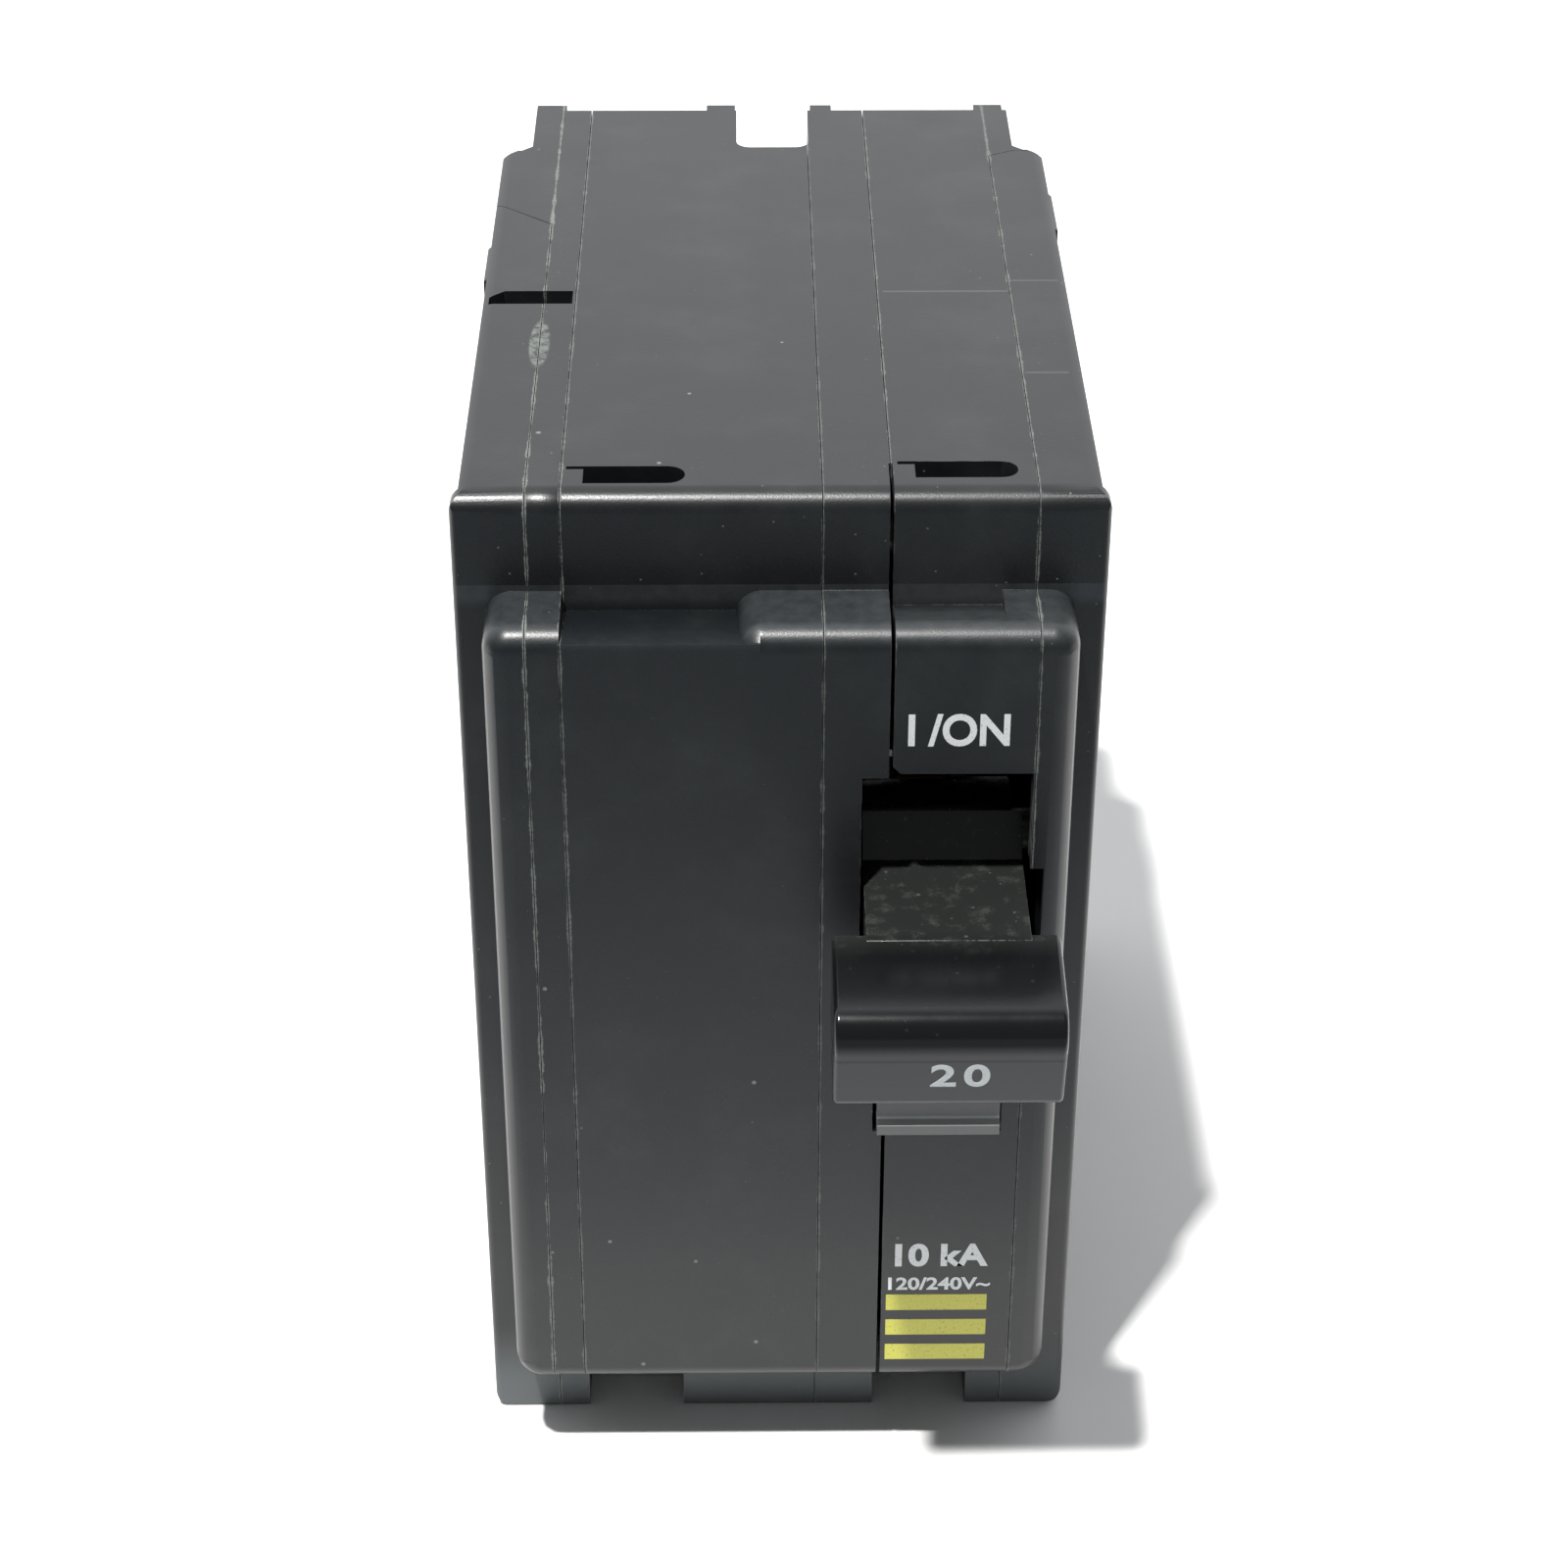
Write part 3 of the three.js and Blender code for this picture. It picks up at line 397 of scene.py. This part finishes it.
def pad_print(name, ink, chipped):
    """Printed ink, a little thin and broken where the plastic's grain shows through."""
    s = Shader(name)
    worn = s.noise(6.0, 3.0, 0.7)
    colour = s.mix(s.step(worn, 0.56, 0.72), ink, chipped)
    rough = s.blend(worn, 0.45, 0.6)
    s.set(base_color=colour, roughness=rough, normal=s.bump(worn, 0.01 * MM, 0.5))
    return s.material


MATERIALS = {
    "case_plastic": case_plastic("case_plastic"),
    "handle_plastic": handle_plastic("handle_plastic"),
    "bar_plastic": dull_plastic("bar_plastic", rgb(0.03, 0.033, 0.036), rgb(0.06, 0.063, 0.066)),
    "fibre": fibre_sheet("fibre"),
    "steel": bare_metal("steel", rgb(0.42, 0.42, 0.43), rgb(0.62, 0.62, 0.63)),
    "zinc_plated_steel": bare_metal(
        "zinc_plated_steel", rgb(0.42, 0.43, 0.44), rgb(0.66, 0.67, 0.68),
    ),
    "rivet_steel": bare_metal("rivet_steel", rgb(0.30, 0.30, 0.30), rgb(0.52, 0.52, 0.51)),
    "copper": bare_metal("copper", rgb(0.42, 0.19, 0.11), rgb(0.66, 0.34, 0.22)),
    "tinned_copper": bare_metal("tinned_copper", rgb(0.45, 0.45, 0.42), rgb(0.66, 0.66, 0.62)),
    "silver_alloy": bare_metal("silver_alloy", rgb(0.62, 0.62, 0.60), rgb(0.82, 0.82, 0.80)),
    "print_white": pad_print("print_white", rgb(0.80, 0.82, 0.83), rgb(0.45, 0.46, 0.47)),
    "print_yellow": pad_print("print_yellow", rgb(0.62, 0.60, 0.10), rgb(0.25, 0.25, 0.08)),
}
SLOT_OF = {s["node"]: s["material_slot"] for s in frame["record"]["subparts"]}
BODY_OF = {n: b for b, ns in frame["record"]["behaviour"]["bodies"].items() for n in ns}


# ------------------------------------------------------------------ pieces

def new_piece(name, mesh, body, slot, replaced=()):
    piece = bpy.data.objects.new(name, mesh)
    bpy.context.scene.collection.objects.link(piece)
    mesh.materials.clear()
    mesh.materials.append(MATERIALS[slot])
    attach(piece, body)
    if replaced:
        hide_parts(*replaced)
    return piece


def smooth(mesh, angle=38):
    mesh.polygons.foreach_set("use_smooth", [True] * len(mesh.polygons))
    mesh.set_sharp_from_angle(angle=math.radians(angle))
    mesh.update()


def even_normals(mesh):
    """The same mesh with its normals weighted by face area, so broad flat faces shade flat."""
    holder = bpy.data.objects.new(mesh.name, mesh)
    bpy.context.scene.collection.objects.link(holder)
    modifier = holder.modifiers.new("even", "WEIGHTED_NORMAL")
    modifier.keep_sharp = True
    depsgraph = bpy.context.evaluated_depsgraph_get()
    shaded = bpy.data.meshes.new_from_object(
        holder.evaluated_get(depsgraph), preserve_all_data_layers=True, depsgraph=depsgraph,
    )
    bpy.data.objects.remove(holder)
    return shaded


def refined(node, width=0.08, segments=2, angle=38):
    """A node's own shape, its triangles joined into whole faces and its sharp edges rounded."""
    bm = bmesh.new()
    bm.from_mesh(frame["nodes"][node].data)
    bmesh.ops.remove_doubles(bm, verts=bm.verts, dist=2e-6)
    bmesh.ops.dissolve_limit(
        bm, angle_limit=math.radians(1.0), verts=bm.verts, edges=bm.edges,
        use_dissolve_boundaries=False,
    )
    if width:
        limit = math.radians(angle)
        sharp = [e for e in bm.edges if len(e.link_faces) == 2 and e.calc_face_angle(0) > limit]
        edge = bm.faces.layers.float.new("edge")
        rounded = bmesh.ops.bevel(
            bm, geom=sharp, offset=width * MM, offset_type="OFFSET", segments=segments,
            profile=0.5, affect="EDGES", clamp_overlap=True,
        )
        for face in rounded["faces"]:
            face[edge] = 1.0
    mesh = bpy.data.meshes.new(node + "_fine")
    bm.to_mesh(mesh)
    bm.free()
    smooth(mesh)
    return even_normals(mesh)


def refine_all():
    for node in frame["nodes"]:
        slot = SLOT_OF[node]
        new_piece(node + "_fine", refined(node), BODY_OF[node], slot, [node])


def text_mesh(name, words, size, bold=0.0, spacing=1.0):
    data = bpy.data.curves.new(name, "FONT")
    data.body = words
    data.size = size * MM
    data.offset = bold * MM
    data.space_character = spacing
    data.extrude = 0.012 * MM
    data.resolution_u = 6
    holder = bpy.data.objects.new(name, data)
    bpy.context.scene.collection.objects.link(holder)
    bpy.context.view_layer.update()
    depsgraph = bpy.context.evaluated_depsgraph_get()
    mesh = bpy.data.meshes.new_from_object(holder.evaluated_get(depsgraph))
    bpy.data.objects.remove(holder)
    return mesh


def fit_print(mesh, x, z, y, tilt=0.0):
    """Lays flat lettering on a face that looks forward, filling the spans x and z."""
    low = [min(v.co[i] for v in mesh.vertices) for i in range(3)]
    high = [max(v.co[i] for v in mesh.vertices) for i in range(3)]
    middle = Vector(((low[0] + high[0]) / 2, (low[1] + high[1]) / 2, 0))
    grow = Matrix.Diagonal((
        (x[1] - x[0]) / (high[0] - low[0]), (z[1] - z[0]) / (high[1] - low[1]), 1, 1,
    ))
    upright = Matrix.Rotation(math.pi / 2 + tilt, 4, "X")
    place = Matrix.Translation(Vector(((x[0] + x[1]) / 2, y, (z[0] + z[1]) / 2)))
    mesh.transform(place @ upright @ grow @ Matrix.Translation(-middle))


def add_bars(name, x, z, count, share, y):
    """Raised horizontal bars of ink that fill a box on a face that looks forward."""
    bm = bmesh.new()
    pitch = (z[1] - z[0]) / (count - 1 + share)
    for number in range(count):
        z0 = z[0] + number * pitch
        z1 = z0 + pitch * share
        made = bmesh.ops.create_cube(bm, size=1.0)["verts"]
        for vert in made:
            vert.co.x = (x[0] if vert.co.x < 0 else x[1]) * MM
            vert.co.y = y + (-0.008 if vert.co.y < 0 else 0.004) * MM
            vert.co.z = (z0 if vert.co.z < 0 else z1) * MM
    mesh = bpy.data.meshes.new(name)
    bm.to_mesh(mesh)
    bm.free()
    new_piece(name, mesh, "housing", "print_yellow")


def add_print():
    face = FACE - 0.004 * MM
    for name, text, x, z, bold in PRINTS:
        mesh = text_mesh(name, text, TEXT_SIZE, bold)
        fit_print(mesh, [v * MM for v in x], [v * MM for v in z], face)
        new_piece(name, mesh, "housing", "print_white")
    rating = text_mesh("print_rating", RATING["words"], TEXT_SIZE, 0.07, spacing=1.25)
    ahead, low_z = LABEL_FOOT
    height = RATING["z"]
    along = SHOULDER - (ahead + (height - low_z) * math.tan(TILT)) * MM
    span_x = [v * MM for v in RATING["x"]]
    span_z = ((height - RATING["half"]) * MM, (height + RATING["half"]) * MM)
    fit_print(rating, span_x, span_z, along - 0.006 * MM, TILT)
    new_piece("print_rating", rating, "handle", "print_white")
    add_bars("print_mark", BARS["x"], BARS["z"], BARS["count"], BARS["share"], FACE)


# ------------------------------------------------------------------ stage

def add_area(name, place, target, size, watts, tint=(1, 1, 1)):
    data = bpy.data.lights.new(name, "AREA")
    data.shape = "RECTANGLE"
    data.size, data.size_y = size
    data.energy = watts
    data.color = tint
    lamp = bpy.data.objects.new(name, data)
    lamp.location = place
    lamp.rotation_mode = "QUATERNION"
    lamp.rotation_quaternion = (Vector(target) - Vector(place)).to_track_quat("-Z", "Y")
    bpy.context.scene.collection.objects.link(lamp)


def add_world(scene):
    """A bright wall behind the part and a dim room on the side it is seen from."""
    world = bpy.data.worlds.new("studio")
    world.use_nodes = True
    tree = world.node_tree
    coords = tree.nodes.new("ShaderNodeTexCoord")
    split = tree.nodes.new("ShaderNodeSeparateXYZ")
    level = tree.nodes.new("ShaderNodeMapRange")
    level.interpolation_type = "SMOOTHSTEP"
    for name, value in WORLD_LEVELS.items():
        level.inputs[name].default_value = value
    tree.links.new(coords.outputs["Generated"], split.inputs[0])
    tree.links.new(split.outputs["Y"], level.inputs["Value"])
    tree.links.new(level.outputs["Result"], tree.nodes["Background"].inputs["Strength"])
    tree.nodes["Background"].inputs["Color"].default_value = rgb(0.97, 0.985, 1.0)
    scene.world = world


def add_stage():
    scene = bpy.context.scene
    scene.view_settings.view_transform = "Standard"
    add_world(scene)
    bpy.ops.mesh.primitive_plane_add(size=6, location=(0, 0, 0))
    floor = bpy.context.object
    floor.name = "floor"
    s = Shader("floor")
    y = s.split(s.mm)[1]
    front = s.step(y, FLOOR_EDGE + 1, FLOOR_EDGE - 1)
    # Farther in front the floor darkens to a deep grey: painted shade for the dimmer light far
    # from the lamp, seen in the part's reflections.
    far_painted_shade = s.step(y, FLOOR_EDGE - 2, FLOOR_EDGE - 70)
    mottle = s.noise(0.3, 3.0, 0.6)
    near = s.mix(mottle, rgb(0.92, 0.925, 0.92), rgb(0.94, 0.94, 0.935))
    colour = s.mix(front, near, rgb(0.53, 0.56, 0.59))
    colour = s.mix(far_painted_shade, colour, rgb(0.14, 0.155, 0.17))
    s.set(base_color=colour, roughness=0.9)
    floor.data.materials.append(s.material)
    toward = Vector(KEY_TOWARD).normalized()
    target = Vector(KEY_TARGET)
    place = target + toward * KEY_DISTANCE
    add_area("key", place, target, (KEY_SIZE, KEY_SIZE), KEY_WATTS, (1.0, 0.99, 0.97))


make_camera()
refine_all()
add_print()
add_stage()
